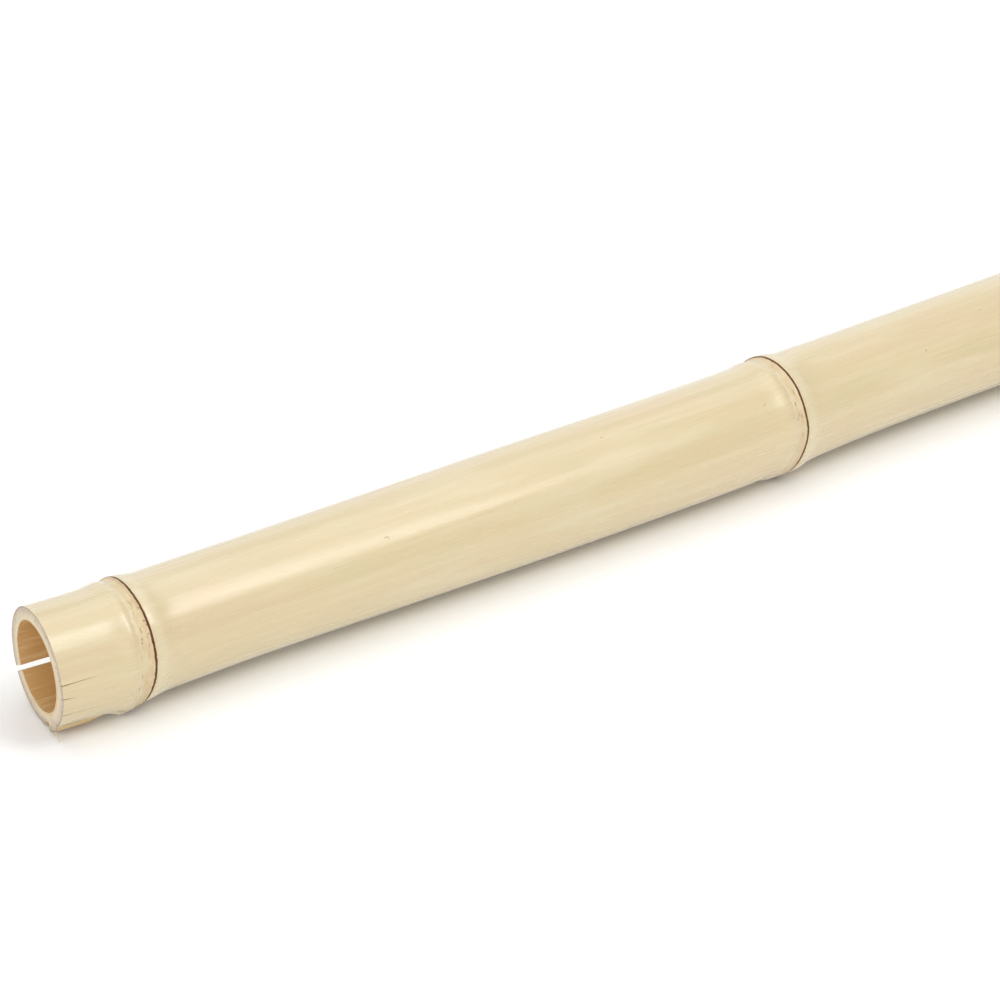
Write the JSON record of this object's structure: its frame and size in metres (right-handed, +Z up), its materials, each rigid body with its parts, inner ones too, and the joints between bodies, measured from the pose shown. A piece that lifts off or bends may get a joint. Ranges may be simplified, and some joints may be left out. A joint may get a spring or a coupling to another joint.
{
  "type": "bamboo cane",
  "caption": "Sawn length of yellow bamboo cane with raised node rings, thin brown sheath scars, open hollow ends and a narrow relief saw slot along its whole length.",
  "frame": {"origin": "on the floor under the middle of the cane, at the bottom centre of its bounding box", "axes": "+X along the cane from the near cut, which the picture shows, to the far cut; +Z up; the picture's camera is on the -Y side"},
  "size_m": [1.0036, 0.0708, 0.0624],
  "materials": {
    "bamboo": "pale cream-yellow bamboo rind with a soft satin gloss and faint lengthwise streaks, brown sheath scars, grey-cream sawn ends and a golden-brown hollow"
  },
  "bodies": {
    "root": {"bamboo_culm": "bamboo"}
  },
  "joints": []
}
